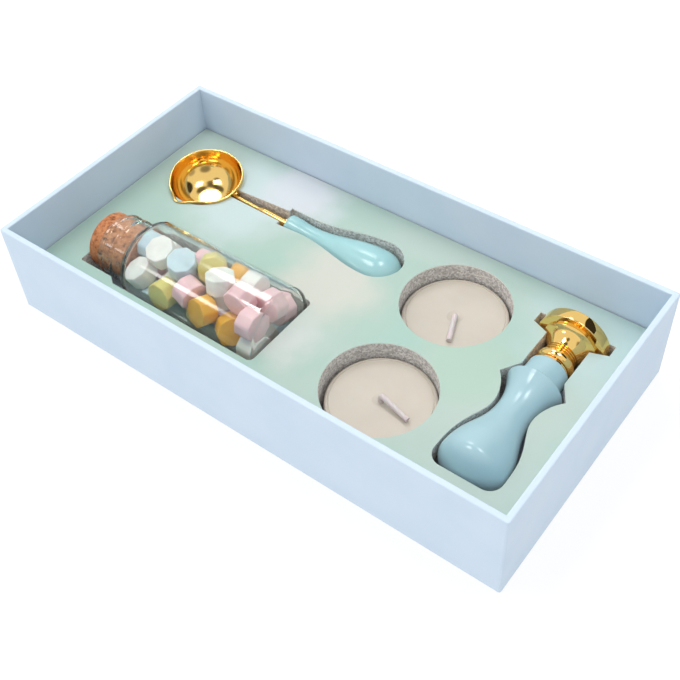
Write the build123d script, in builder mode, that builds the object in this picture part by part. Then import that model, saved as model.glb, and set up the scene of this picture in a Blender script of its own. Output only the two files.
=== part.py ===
from build123d import *
import os

# Wax seal set: an open tray box with a die-cut insert that holds a melting spoon,
# a corked bottle of wax beads, two tealights and a stamp.
# Millimetres. X runs along the box, Y from its front to its back, Z up.
# The origin is the middle of the underside.

# Tray box
BOX_LENGTH = 210.0
BOX_WIDTH = 106.0
BOX_HEIGHT = 38.0
BOARD = 1.8
PAPER = 0.2
CORNER_R = 0.8
RIM_R = 0.5

# Insert
FOAM_THICKNESS = 16.3
CARD_THICKNESS = 0.4
INSERT_ROOM = 0.5
INSERT_REST = 0.1
REST_GAP = 0.3

# The insert's spare length is shared out between its ends and the pockets. These shares
# of it lie left of the bottle, the spoon and the tealights, and right of the stamp.
BOTTLE_SHARE = 0.4975
SPOON_SHARE = 0.303
CANDLE_SHARE = 0.489
STAMP_SHARE = 0.3045

# Bottle, lying along X with its base towards +X
BOTTLE_Y = -20.85
BODY_R = 16.0
GLASS_WALL = 1.4
BASE_THICKNESS = 3.0
HEEL_R = 1.2
INNER_HEEL_R = 1.0
FOOT_R = 13.0
PUNT_DEPTH = 1.0
BODY_LENGTH = 60.6
SHOULDER_LENGTH = 6.0
NECK_LENGTH = 11.6
NECK_R = 11.6
NECK_WALL = 1.1
RING_HEIGHT = 0.8
RING_WIDTH = 2.6
RING_GAP = 3.0
BOTTLE_ROOM = 0.85
BASE_ROOM = 0.6
NECK_POCKET_ROOM = 2.25
POCKET_STEP = 3.0
POCKET_CORNER_R = 2.0

# Cork
CORK_FIT = 0.1
CORK_IN = 13.6
CORK_OUT = 5.4
CORK_SPREAD = 0.4
CORK_CHAMFER = 0.5
CORK_ROOM = 0.6

# Wax beads
BEAD_FLATS = 9.6
BEAD_THICKNESS = 6.5
BEAD_EDGE = 0.5
BEAD_GAP = 0.3
BEAD_GLASS_GAP = 1.2
RING_BEADS = 5
RING_PITCH = 10.6

# Tealights
CANDLE_R = 19.0
CANDLE_HEIGHT = 10.2
CANDLE_EDGE = 0.9
CANDLE_GROOVE_R = 17.6
CANDLE_GROOVE = 0.25
CANDLE_DISH_R = 3.0
CANDLE_DISH = 0.5
CANDLE_ROOM = 0.9
CANDLE_1_Y = 23.7
CANDLE_2_Y = -22.4
CANDLE_2_SHIFT = 0.2
CANDLE_2_SLIP = 0.45
WICK_R = 0.95
WICK_BEND_R = 1.3
WICK_1_RISE = 1.1
WICK_1_REACH = 12.6
WICK_1_TIP = 1.1
WICK_1_HEADING = -67.5
WICK_2_RISE = 2.9
WICK_2_REACH = 12.6
WICK_2_TIP = 1.3
WICK_2_HEADING = -11.4
SUSTAINER_R = 6.0
SUSTAINER_SHEET = 0.3
SLEEVE_WALL = 0.4
SLEEVE_HEIGHT = 3.0

# Melting spoon, nearly along X with its bowl towards -X
BOWL_Y = 24.6
BOWL_RISE = 3.0
SPOON_YAW = 1.4
SPOON_PITCH = 5.0
SPOON_ROLL = 6.3
BOWL_R = 14.4
BOWL_DEPTH = 13.0
BOWL_WALL = 0.6
BOWL_FLAT_R = 5.0
BOWL_STRAIGHT = 2.5
RIM_FLANGE = 0.4
RIM_HEIGHT = 0.5
LIP_R = 4.6
LIP_OUT = 13.4
LIP_DEPTH = 2.0
LIP_FOOT_R = 0.9
LIP_FOOT_OUT = 9.6
LIP_EDGE = 0.6
BOWL_ROOM = 0.25
STEM_DROP = 3.4
STEM_R = 0.95
STEM_THICK_R = 1.6
STEM_THICK_FROM = 29.0
STEM_TAPER = 3.0
COLLAR_R = 2.5
COLLAR_WIDTH = 1.0
TANG_LENGTH = 14.0
PAD_WIDTH = 2.6
PAD_HEIGHT = 5.0
PAD_THICKNESS = 0.9
RIVET_R = 0.5
RIVET_HEAD_R = 0.8
RIVET_HEAD = 0.4
RIVET_SPACING = 3.5
GRIP_FROM = 40.8
GRIP_LENGTH = 50.8
GRIP_FACE_R = 3.5
GRIP_HEAD_R = 4.5
GRIP_HEAD = 3.2
GRIP_NECK_R = 4.1
GRIP_NECK = 9.2
GRIP_R = 9.0
GRIP_WIDEST = 41.2
GRIP_ROOM = 0.7
STEM_SLOT_ROOM = 0.4
STEM_SLOT_END_HALF = 3.4
GRIP_SLOT_HALF = 5.2

# Stamp, lying along Y with its head towards +Y
HEAD_R = 12.75
HEAD_FACE_Y = 36.6
HEAD_THICKNESS = 4.6
HEAD_CHAMFER = 0.4
STEP_R = 10.2
STEP_HEIGHT = 0.8
CONE_LENGTH = 3.2
THREAD_RINGS = 3
THREAD_PITCH = 1.5
THREAD_ROOT_R = 4.5
THREAD_HEIGHT = 0.6
COLLAR_HALF_WIDTH = 1.8
STAMP_COLLAR_R = 7.0
STAMP_NECK_R = 5.3
STUD_R = 3.0
STUD_FIT = 0.1
STUD_LENGTH = 9.0
TURN_GAP = 0.1
FERRULE_R = 6.4
FERRULE_THICKNESS = 1.2
HANDLE_TOP_Y = 18.4
HANDLE_TOP_R = 7.4
HANDLE_TOP_EDGE = 1.0
HANDLE_TOP_LENGTH = 7.2
CREST_R = 10.3
CREST_Y = 8.5
WAIST_R = 6.5
WAIST_Y = -4.5
BULB_R = 12.0
BULB_Y = -28.7
BULB_END = 7.1
NUT_R = 4.2
NUT_LENGTH = 9.5
STAMP_ROOM = 0.5
BULB_ROOM = 0.4
WAIST_ROOM = 0.6
FOOT_CORNER_R = 5.0
NOTCH_ROOM = 1.9
NOTCH_SHIFT = -1.7
HEAD_SLOT_ROOM = 1.45
HEAD_SLOT_DEPTH = 4.8
HEAD_SLOT_SLOPE = 2.2
NECK_SLOT_ROOM = 0.6
NECK_SLOT_FROM = 13.5

# Heights and places that follow from the sizes above
WALL = BOARD + 2 * PAPER
INNER_LENGTH = BOX_LENGTH - 2 * WALL
INNER_WIDTH = BOX_WIDTH - 2 * WALL
FLOOR_TOP = BOARD + 2 * PAPER
FOAM_BOTTOM = FLOOR_TOP + INSERT_REST
CARD_BOTTOM = FOAM_BOTTOM + FOAM_THICKNESS
CARD_TOP = CARD_BOTTOM + CARD_THICKNESS
REST_Z = FLOOR_TOP + REST_GAP
INSERT_LENGTH = INNER_LENGTH - 2 * INSERT_ROOM
INSERT_WIDTH = INNER_WIDTH - 2 * INSERT_ROOM

# Where things lie along the box
SPOON_SPAN = BOWL_R + BOWL_ROOM + GRIP_FROM + GRIP_LENGTH + GRIP_ROOM
CANDLE_SPAN = 2 * (CANDLE_R + CANDLE_ROOM)
STAMP_SPAN = 2 * (HEAD_R + HEAD_SLOT_ROOM)
SPARE_LENGTH = INSERT_LENGTH - SPOON_SPAN - CANDLE_SPAN - STAMP_SPAN
BOTTLE_LENGTH = BODY_LENGTH + SHOULDER_LENGTH + NECK_LENGTH
BOTTLE_END_X = BOTTLE_SHARE * SPARE_LENGTH - INSERT_LENGTH / 2
BOTTLE_BASE_X = BOTTLE_END_X + CORK_ROOM + CORK_OUT + BOTTLE_LENGTH
BOWL_X = SPOON_SHARE * SPARE_LENGTH - INSERT_LENGTH / 2 + BOWL_R + BOWL_ROOM
CANDLE_X = CANDLE_SHARE * SPARE_LENGTH - INSERT_LENGTH / 2 + SPOON_SPAN + CANDLE_SPAN / 2
STAMP_X = INSERT_LENGTH / 2 - STAMP_SHARE * SPARE_LENGTH - STAMP_SPAN / 2

os.makedirs("parts", exist_ok=True)

# Tray box: a board floor between four board walls
BOARD_LENGTH = BOX_LENGTH - 2 * PAPER
BOARD_WIDTH = BOX_WIDTH - 2 * PAPER
BOARD_HEIGHT = BOX_HEIGHT - 2 * PAPER

with BuildPart() as floor_board:
    with BuildSketch(Plane.XY.offset(PAPER)):
        Rectangle(BOARD_LENGTH - 2 * BOARD, BOARD_WIDTH - 2 * BOARD)
    extrude(amount=BOARD)
floor_board.part.label = "floor_board"
export_step(floor_board.part, "parts/floor_board.step")

boards = [floor_board]
for name, side in (("front_wall", -1), ("back_wall", 1)):
    with BuildPart() as wall:
        with BuildSketch(Plane.XY.offset(PAPER)):
            with Locations((0, side * (BOARD_WIDTH - BOARD) / 2)):
                Rectangle(BOARD_LENGTH, BOARD)
        extrude(amount=BOARD_HEIGHT)
        outer_face = wall.faces().filter_by(Plane.XZ).sort_by(Axis.Y, reverse=side > 0)[0]
        fillet(outer_face.edges().filter_by(Axis.Z), CORNER_R - PAPER)
        fillet(wall.edges().filter_by(Axis.X).group_by(Axis.Z)[-1], RIM_R - PAPER)
    wall.part.label = name
    export_step(wall.part, f"parts/{name}.step")
    boards.append(wall)

for name, side in (("left_wall", -1), ("right_wall", 1)):
    with BuildPart() as wall:
        with BuildSketch(Plane.XY.offset(PAPER)):
            with Locations((side * (BOARD_LENGTH - BOARD) / 2, 0)):
                Rectangle(BOARD, BOARD_WIDTH - 2 * BOARD)
        extrude(amount=BOARD_HEIGHT)
        fillet(wall.edges().filter_by(Axis.Y).group_by(Axis.Z)[-1], RIM_R - PAPER)
    wall.part.label = name
    export_step(wall.part, f"parts/{name}.step")
    boards.append(wall)

# The wrapping paper covers the walls outside, turns over the rim and lines them inside
with BuildPart() as wrap_paper:
    with BuildSketch(Plane.XY.offset(PAPER)):
        RectangleRounded(BOX_LENGTH, BOX_WIDTH, CORNER_R)
        Rectangle(INNER_LENGTH, INNER_WIDTH, mode=Mode.SUBTRACT)
    extrude(amount=BOX_HEIGHT - PAPER)
    fillet(wrap_paper.faces().sort_by(Axis.Z)[-1].edges(), RIM_R)
    for board in boards:
        add(board.part, mode=Mode.SUBTRACT)
wrap_paper.part.label = "wrap_paper"
export_step(wrap_paper.part, "parts/wrap_paper.step")

# Flat panel of the same paper under the floor
with BuildPart() as base_sheet:
    with BuildSketch():
        RectangleRounded(BOX_LENGTH, BOX_WIDTH, CORNER_R)
    extrude(amount=PAPER)
base_sheet.part.label = "base_sheet"
export_step(base_sheet.part, "parts/base_sheet.step")

with BuildPart() as floor_lining:
    with BuildSketch(Plane.XY.offset(PAPER + BOARD)):
        Rectangle(INNER_LENGTH, INNER_WIDTH)
    extrude(amount=PAPER)
floor_lining.part.label = "floor_lining"
export_step(floor_lining.part, "parts/floor_lining.step")

# Planes of the things that lie in the insert. Each has its x along the thing's own axis
# and its y upwards, so a profile is drawn as length and radius.
bottle_centre = (BOTTLE_BASE_X, BOTTLE_Y, REST_Z + BODY_R)
bottle_plane = Plane(origin=bottle_centre, x_dir=(-1, 0, 0), z_dir=(0, 1, 0))
bottle_axis = Axis(bottle_plane.origin, bottle_plane.x_dir)

stamp_centre = (STAMP_X, 0, REST_Z + HEAD_R)
stamp_plane = Plane(origin=stamp_centre, x_dir=(0, 1, 0), z_dir=(1, 0, 0))
stamp_axis = Axis(stamp_plane.origin, stamp_plane.x_dir)

# The spoon leans on the card by its rim and on the floor by its grip. Its own plane
# lies in the rim, with x towards the grip and z out of the bowl.
spoon_turn = Rot(Z=SPOON_YAW) * Rot(Y=SPOON_PITCH) * Rot(X=SPOON_ROLL)
spoon_plane = Plane(Pos(BOWL_X, BOWL_Y, CARD_TOP + BOWL_RISE) * spoon_turn)
bowl_axis = Axis(spoon_plane.origin, spoon_plane.z_dir)
bowl_section = Plane(spoon_plane.origin, x_dir=spoon_plane.x_dir, z_dir=-spoon_plane.y_dir)
stem_start = spoon_plane.from_local_coords(Vector(0, 0, -STEM_DROP))
stem_section = Plane(stem_start, x_dir=spoon_plane.x_dir, z_dir=-spoon_plane.y_dir)
stem_axis = Axis(stem_start, spoon_plane.x_dir)
stem_level = Vector(spoon_plane.x_dir.X, spoon_plane.x_dir.Y, 0)
stem_plan = Plane((stem_start.X, stem_start.Y, 0), x_dir=stem_level, z_dir=(0, 0, 1))
bowl_at_card = spoon_plane.from_local_coords(Vector(0, 0, -BOWL_RISE / spoon_plane.z_dir.Z))

# A round end is drawn as a quarter oval whose handles are this share of its half axes
ROUNDING = 0.552

# Half outline of the spoon's grip, from its face at x = 0 to its round nose
GRIP_NOSE = GRIP_LENGTH - GRIP_WIDEST
with BuildSketch() as grip_half:
    with BuildLine():
        Line((0, 0), (0, GRIP_FACE_R))
        Spline((0, GRIP_FACE_R), (GRIP_HEAD, GRIP_HEAD_R), tangents=[(0, 1), (1, 0)])
        Spline((GRIP_HEAD, GRIP_HEAD_R), (GRIP_NECK, GRIP_NECK_R), tangents=[(1, 0), (1, 0)])
        Spline((GRIP_NECK, GRIP_NECK_R), (GRIP_WIDEST, GRIP_R), tangents=[(1, 0), (1, 0)])
        Bezier(
            (GRIP_WIDEST, GRIP_R),
            (GRIP_WIDEST + GRIP_NOSE * ROUNDING, GRIP_R),
            (GRIP_LENGTH, GRIP_R * ROUNDING),
            (GRIP_LENGTH, 0),
        )
        Line((GRIP_LENGTH, 0), (0, 0))
    make_face()

# Pockets, cut right through card and foam
with BuildSketch(Plane((0, BOTTLE_Y, 0))) as bottle_pocket:
    BODY_POCKET_HALF = BODY_R + BOTTLE_ROOM
    NECK_POCKET_HALF = NECK_R + RING_HEIGHT + NECK_POCKET_ROOM
    STEP_X = BOTTLE_BASE_X - BODY_LENGTH - SHOULDER_LENGTH + POCKET_STEP / 2
    with BuildLine():
        Polyline(
            (BOTTLE_BASE_X + BASE_ROOM, 0),
            (BOTTLE_BASE_X + BASE_ROOM, BODY_POCKET_HALF),
            (STEP_X, BODY_POCKET_HALF),
            (STEP_X - POCKET_STEP, NECK_POCKET_HALF),
            (BOTTLE_END_X, NECK_POCKET_HALF),
            (BOTTLE_END_X, 0),
        )
        mirror(about=Plane.XZ)
    make_face()
    base_corners = bottle_pocket.vertices().group_by(Axis.X)[-1]
    fillet(base_corners, POCKET_CORNER_R)
    end_corners = bottle_pocket.vertices().group_by(Axis.X)[0]
    fillet(end_corners, POCKET_CORNER_R / 2)

with BuildSketch(Plane((STAMP_X, 0, 0), x_dir=(0, 1, 0), z_dir=(0, 0, 1))) as stamp_pocket:
    FOOT_Y = BULB_Y - BULB_END - STAMP_ROOM
    SLOT_Y = HEAD_FACE_Y + STAMP_ROOM
    HEAD_SLOT_HALF = HEAD_R + HEAD_SLOT_ROOM
    NECK_SLOT_HALF = HANDLE_TOP_R + NECK_SLOT_ROOM
    with BuildLine():
        FilletPolyline(
            (FOOT_Y, 0),
            (FOOT_Y, BULB_R + BULB_ROOM),
            (BULB_Y, BULB_R + BULB_ROOM),
            radius=FOOT_CORNER_R,
        )
        Spline(
            (BULB_Y, BULB_R + BULB_ROOM),
            (WAIST_Y, WAIST_R + WAIST_ROOM),
            (CREST_Y + NOTCH_SHIFT, CREST_R + NOTCH_ROOM),
            tangents=[(1, 0), (1, 1)],
        )
        Polyline(
            (CREST_Y + NOTCH_SHIFT, CREST_R + NOTCH_ROOM),
            (NECK_SLOT_FROM, NECK_SLOT_HALF),
            (SLOT_Y - HEAD_SLOT_DEPTH - HEAD_SLOT_SLOPE, NECK_SLOT_HALF),
            (SLOT_Y - HEAD_SLOT_DEPTH, HEAD_SLOT_HALF),
            (SLOT_Y, HEAD_SLOT_HALF),
            (SLOT_Y, 0),
            (FOOT_Y, 0),
        )
    make_face()
    mirror(about=Plane.XZ)

with BuildSketch(stem_plan) as spoon_pocket:
    GRIP_AT = GRIP_FROM * stem_level.length
    NOSE_AT = GRIP_AT + GRIP_LENGTH + GRIP_ROOM
    with BuildLine():
        Polyline(
            (0, 0),
            (0, PAD_WIDTH / 2 + STEM_SLOT_ROOM),
            (GRIP_AT - COLLAR_WIDTH - GRIP_ROOM, STEM_SLOT_END_HALF),
            (GRIP_AT - COLLAR_WIDTH - GRIP_ROOM, GRIP_SLOT_HALF),
            (GRIP_AT + GRIP_NECK, GRIP_NECK_R + GRIP_ROOM),
        )
        Spline(
            (GRIP_AT + GRIP_NECK, GRIP_NECK_R + GRIP_ROOM),
            (GRIP_AT + GRIP_WIDEST, GRIP_R + GRIP_ROOM),
            tangents=[(1, 0), (1, 0)],
        )
        Bezier(
            (GRIP_AT + GRIP_WIDEST, GRIP_R + GRIP_ROOM),
            (GRIP_AT + GRIP_WIDEST + GRIP_NOSE * ROUNDING, GRIP_R + GRIP_ROOM),
            (NOSE_AT, GRIP_R * ROUNDING),
            (NOSE_AT, 0),
        )
        Line((NOSE_AT, 0), (0, 0))
    make_face()
    mirror(about=Plane.XZ)

hole_centres = ((CANDLE_X, CANDLE_1_Y), (CANDLE_X + CANDLE_2_SHIFT, CANDLE_2_Y))
with BuildSketch() as round_holes:
    with Locations(*hole_centres):
        Circle(CANDLE_R + CANDLE_ROOM)
    with Locations((bowl_at_card.X, bowl_at_card.Y)):
        Circle(BOWL_R + BOWL_ROOM)

pockets = (bottle_pocket, stamp_pocket, spoon_pocket, round_holes)

with BuildPart() as insert_foam:
    with BuildSketch(Plane.XY.offset(FOAM_BOTTOM)):
        Rectangle(INSERT_LENGTH, INSERT_WIDTH)
    extrude(amount=FOAM_THICKNESS)
    for pocket in pockets:
        extrude(pocket.sketch, amount=BOX_HEIGHT, mode=Mode.SUBTRACT)
insert_foam.part.label = "insert_foam"
export_step(insert_foam.part, "parts/insert_foam.step")

with BuildPart() as insert_card:
    with BuildSketch(Plane.XY.offset(CARD_BOTTOM)):
        Rectangle(INSERT_LENGTH, INSERT_WIDTH)
    extrude(amount=CARD_THICKNESS)
    for pocket in pockets:
        extrude(pocket.sketch, amount=BOX_HEIGHT, mode=Mode.SUBTRACT)
insert_card.part.label = "insert_card"
export_step(insert_card.part, "parts/insert_card.step")

# Bottle: one turned glass form with a hollow base, a rounded shoulder, a bead ring on
# the neck and a lip at the mouth
BORE_R = NECK_R - NECK_WALL
CAVITY_R = BODY_R - GLASS_WALL
NECK_AT = BODY_LENGTH + SHOULDER_LENGTH
SHOULDER_SHIFT = GLASS_WALL / 2

with BuildPart() as bottle_glass:
    with BuildSketch(bottle_plane):
        with BuildLine():
            Spline((PUNT_DEPTH, 0), (0, FOOT_R), tangents=[(0, 1), (-1, 1)])
            Line((0, FOOT_R), (0, BODY_R - HEEL_R))
            RadiusArc((0, BODY_R - HEEL_R), (HEEL_R, BODY_R), HEEL_R)
            Line((HEEL_R, BODY_R), (BODY_LENGTH, BODY_R))
            Spline((BODY_LENGTH, BODY_R), (NECK_AT, NECK_R), tangents=[(1, 0), (1, 0)])
            ring_start = NECK_AT
            for ring_end in (BOTTLE_LENGTH - RING_WIDTH - RING_GAP, BOTTLE_LENGTH):
                Line((ring_start, NECK_R), (ring_end - RING_WIDTH, NECK_R))
                ThreePointArc(
                    (ring_end - RING_WIDTH, NECK_R),
                    (ring_end - RING_WIDTH / 2, NECK_R + RING_HEIGHT),
                    (ring_end, NECK_R),
                )
                ring_start = ring_end
            Line((BOTTLE_LENGTH, NECK_R), (BOTTLE_LENGTH, BORE_R))
            Line((BOTTLE_LENGTH, BORE_R), (NECK_AT - SHOULDER_SHIFT, BORE_R))
            Spline(
                (NECK_AT - SHOULDER_SHIFT, BORE_R),
                (BODY_LENGTH - SHOULDER_SHIFT, CAVITY_R),
                tangents=[(-1, 0), (-1, 0)],
            )
            Line((BODY_LENGTH - SHOULDER_SHIFT, CAVITY_R), (BASE_THICKNESS + INNER_HEEL_R, CAVITY_R))
            RadiusArc(
                (BASE_THICKNESS + INNER_HEEL_R, CAVITY_R),
                (BASE_THICKNESS, CAVITY_R - INNER_HEEL_R),
                -INNER_HEEL_R,
            )
            Polyline((BASE_THICKNESS, CAVITY_R - INNER_HEEL_R), (BASE_THICKNESS, 0), (PUNT_DEPTH, 0))
        make_face()
    revolve(axis=bottle_axis)
bottle_glass.part.label = "bottle_glass"
export_step(bottle_glass.part, "parts/bottle_glass.step")

# Cork: straight where the neck holds it, spreading a little outside
with BuildPart() as cork:
    CORK_R = BORE_R - CORK_FIT
    with BuildSketch(bottle_plane):
        with BuildLine():
            Polyline(
                (BOTTLE_LENGTH - CORK_IN, 0),
                (BOTTLE_LENGTH - CORK_IN, CORK_R - CORK_CHAMFER),
                (BOTTLE_LENGTH - CORK_IN + CORK_CHAMFER, CORK_R),
                (BOTTLE_LENGTH, CORK_R),
                (BOTTLE_LENGTH + CORK_OUT - CORK_CHAMFER, CORK_R + CORK_SPREAD),
                (BOTTLE_LENGTH + CORK_OUT, CORK_R + CORK_SPREAD - CORK_CHAMFER),
                (BOTTLE_LENGTH + CORK_OUT, 0),
                close=True,
            )
        make_face()
    revolve(axis=bottle_axis)
cork.part.label = "cork"
export_step(cork.part, "parts/cork.step")

# Wax beads: octagonal tablets. Rings of them stand with their faces to the glass, each
# ring turned half a step from the last, round a stack that starts at the base.
with BuildPart() as bead:
    with BuildSketch():
        RegularPolygon(BEAD_FLATS / 2, 8, major_radius=False, rotation=180 / 8)
    extrude(amount=BEAD_THICKNESS)
    chamfer(bead.faces().filter_by(Axis.Z).edges(), BEAD_EDGE)

BEAD_COLOURS = ("blue", "white", "yellow", "orange", "pink")
FILL_START = BASE_THICKNESS + BEAD_GAP
FILL_LENGTH = BOTTLE_LENGTH - CORK_IN - FILL_START
RING_START = FILL_START + INNER_HEEL_R + BEAD_FLATS / 2
RING_COUNT = int((BODY_LENGTH - RING_START - BEAD_FLATS / 2) // RING_PITCH) + 1
STACK_PITCH = BEAD_THICKNESS + BEAD_GAP
STACK_COUNT = int(FILL_LENGTH // STACK_PITCH)
bead_places = []
for ring in range(RING_COUNT):
    middle = bottle_plane.from_local_coords(Vector(RING_START + ring * RING_PITCH, 0, 0))
    for spoke in range(RING_BEADS):
        turn = (spoke + ring / 2) * 360 / RING_BEADS
        outward = Vector(0, 0, 1).rotate(Axis.X, turn)
        foot = middle + outward * (CAVITY_R - BEAD_GLASS_GAP - BEAD_THICKNESS)
        bead_places.append((ring + 2 * spoke, Plane(foot, x_dir=(1, 0, 0), z_dir=outward)))
for step in range(STACK_COUNT):
    foot = bottle_plane.from_local_coords(Vector(FILL_START + step * STACK_PITCH, 0, 0))
    bead_places.append((3 * step, Plane(foot, x_dir=(0, 1, 0), z_dir=bottle_plane.x_dir)))

for number, colour in enumerate(BEAD_COLOURS):
    places = [place for turn, place in bead_places if turn % len(BEAD_COLOURS) == number]
    with BuildPart() as beads:
        with Locations(*places):
            add(bead.part)
    beads.part.label = f"beads_{colour}"
    export_step(beads.part, f"parts/beads_{colour}.step")

# Tealights: a wax disc over a tin sustainer, with a wick that comes up through the
# sustainer's sleeve and lies over to one side. The front one has slipped sideways in its hole.
CANDLE_TOP = REST_Z + CANDLE_HEIGHT
candle_centres = (
    (CANDLE_X, CANDLE_1_Y),
    (CANDLE_X + CANDLE_2_SHIFT + CANDLE_2_SLIP, CANDLE_2_Y + CANDLE_2_SLIP),
)
wicks = (
    (WICK_1_RISE, WICK_1_REACH, WICK_1_TIP, WICK_1_HEADING),
    (WICK_2_RISE, WICK_2_REACH, WICK_2_TIP, WICK_2_HEADING),
)

for number, centre, (rise, reach, tip, turn) in zip((1, 2), candle_centres, wicks):
    name = f"candle_{number}"
    heading = Vector(1, 0, 0).rotate(Axis.Z, turn)
    side = Plane((*centre, 0), x_dir=heading, z_dir=heading.rotate(Axis.Z, -90))
    middle = Axis((*centre, 0), (0, 0, 1))

    with BuildPart() as wick:
        with BuildLine(side):
            FilletPolyline(
                (0, REST_Z),
                (0, CANDLE_TOP + rise),
                (reach, CANDLE_TOP + tip),
                radius=WICK_BEND_R,
            )
        with BuildSketch(Plane((*centre, REST_Z))):
            Circle(WICK_R)
        sweep()
    wick.part.label = f"{name}_wick"
    export_step(wick.part, f"parts/{name}_wick.step")

    with BuildPart() as sustainer:
        with BuildSketch(Plane((*centre, REST_Z))):
            Circle(SUSTAINER_R)
            Circle(WICK_R, mode=Mode.SUBTRACT)
        extrude(amount=SUSTAINER_SHEET)
        with BuildSketch(Plane((*centre, REST_Z))):
            Circle(WICK_R + SLEEVE_WALL)
            Circle(WICK_R, mode=Mode.SUBTRACT)
        extrude(amount=SLEEVE_HEIGHT)
    sustainer.part.label = f"{name}_sustainer"
    export_step(sustainer.part, f"parts/{name}_sustainer.step")

    with BuildPart() as wax:
        with BuildSketch(side):
            with BuildLine():
                Polyline(
                    (0, REST_Z),
                    (CANDLE_R - CANDLE_EDGE / 2, REST_Z),
                    (CANDLE_R, REST_Z + CANDLE_EDGE / 2),
                    (CANDLE_R, CANDLE_TOP - CANDLE_EDGE),
                )
                RadiusArc(
                    (CANDLE_R, CANDLE_TOP - CANDLE_EDGE),
                    (CANDLE_R - CANDLE_EDGE, CANDLE_TOP),
                    -CANDLE_EDGE,
                )
                Line((CANDLE_R - CANDLE_EDGE, CANDLE_TOP), (CANDLE_GROOVE_R + CANDLE_GROOVE, CANDLE_TOP))
                ThreePointArc(
                    (CANDLE_GROOVE_R + CANDLE_GROOVE, CANDLE_TOP),
                    (CANDLE_GROOVE_R, CANDLE_TOP - CANDLE_GROOVE),
                    (CANDLE_GROOVE_R - CANDLE_GROOVE, CANDLE_TOP),
                )
                Line((CANDLE_GROOVE_R - CANDLE_GROOVE, CANDLE_TOP), (CANDLE_DISH_R, CANDLE_TOP))
                Spline(
                    (CANDLE_DISH_R, CANDLE_TOP),
                    (0, CANDLE_TOP - CANDLE_DISH),
                    tangents=[(-1, -0.3), (-1, 0)],
                )
                Line((0, CANDLE_TOP - CANDLE_DISH), (0, REST_Z))
            make_face()
        revolve(axis=middle)
        add(sustainer.part, mode=Mode.SUBTRACT)
        add(wick.part, mode=Mode.SUBTRACT)
    wax.part.label = f"{name}_wax"
    export_step(wax.part, f"parts/{name}_wax.step")

# Melting spoon. The bowl is one pressed sheet: near-vertical sides that turn into a flat
# bottom, a folded rim and a pouring lip drawn out of the side towards -Y.
with BuildPart() as bowl_outside:
    with BuildSketch(bowl_section):
        with BuildLine():
            Line((0, -BOWL_DEPTH), (BOWL_FLAT_R, -BOWL_DEPTH))
            Spline((BOWL_FLAT_R, -BOWL_DEPTH), (BOWL_R, -BOWL_STRAIGHT), tangents=[(1, 0), (0, 1)])
            Polyline(
                (BOWL_R, -BOWL_STRAIGHT),
                (BOWL_R, -RIM_HEIGHT - RIM_FLANGE / 2),
                (BOWL_R + RIM_FLANGE, -RIM_HEIGHT),
                (BOWL_R + RIM_FLANGE, 0),
                (0, 0),
                (0, -BOWL_DEPTH),
            )
        make_face()
    revolve(axis=bowl_axis)
    with BuildSketch(spoon_plane):
        with Locations((0, -LIP_OUT)):
            Circle(LIP_R)
    with BuildSketch(spoon_plane.offset(-LIP_DEPTH)):
        with Locations((0, -LIP_FOOT_OUT)):
            Circle(LIP_FOOT_R)
    loft()

with BuildPart() as bowl_inside:
    INSIDE_R = BOWL_R - BOWL_WALL
    INSIDE_DEPTH = BOWL_DEPTH - BOWL_WALL
    with BuildSketch(bowl_section):
        with BuildLine():
            Line((0, -INSIDE_DEPTH), (BOWL_FLAT_R, -INSIDE_DEPTH))
            Spline((BOWL_FLAT_R, -INSIDE_DEPTH), (INSIDE_R, -BOWL_STRAIGHT), tangents=[(1, 0), (0, 1)])
            Polyline((INSIDE_R, -BOWL_STRAIGHT), (INSIDE_R, 0), (0, 0), (0, -INSIDE_DEPTH))
        make_face()
    revolve(axis=bowl_axis)
    with BuildSketch(spoon_plane):
        with Locations((0, -LIP_OUT)):
            Circle(LIP_R - LIP_EDGE)
    with BuildSketch(spoon_plane.offset(BOWL_WALL - LIP_DEPTH)):
        with Locations((0, -LIP_FOOT_OUT)):
            Circle(LIP_FOOT_R)
    loft()

# Two rivets hold the flattened end of the stem to the bowl, one above the other
RIVET_FROM = INSIDE_R - RIVET_HEAD
RIVET_LENGTH = BOWL_R + PAD_THICKNESS - RIVET_FROM
rivet_start = spoon_plane.from_local_coords(Vector(RIVET_FROM, 0, -STEM_DROP))
rivet_plane = Plane(rivet_start, x_dir=spoon_plane.y_dir, z_dir=spoon_plane.x_dir)

with BuildPart() as spoon_rivets:
    with BuildSketch(rivet_plane):
        with GridLocations(0, RIVET_SPACING, 1, 2):
            Circle(RIVET_R)
    extrude(amount=RIVET_LENGTH)
    with BuildSketch(rivet_plane, rivet_plane.offset(RIVET_LENGTH)):
        with GridLocations(0, RIVET_SPACING, 1, 2):
            Circle(RIVET_HEAD_R)
    extrude(amount=RIVET_HEAD)
spoon_rivets.part.label = "spoon_rivets"
export_step(spoon_rivets.part, "parts/spoon_rivets.step")

with BuildPart() as spoon_bowl:
    add(bowl_outside.part)
    add(bowl_inside.part, mode=Mode.SUBTRACT)
    add(spoon_rivets.part, mode=Mode.SUBTRACT)
spoon_bowl.part.label = "spoon_bowl"
export_step(spoon_bowl.part, "parts/spoon_bowl.step")

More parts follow.
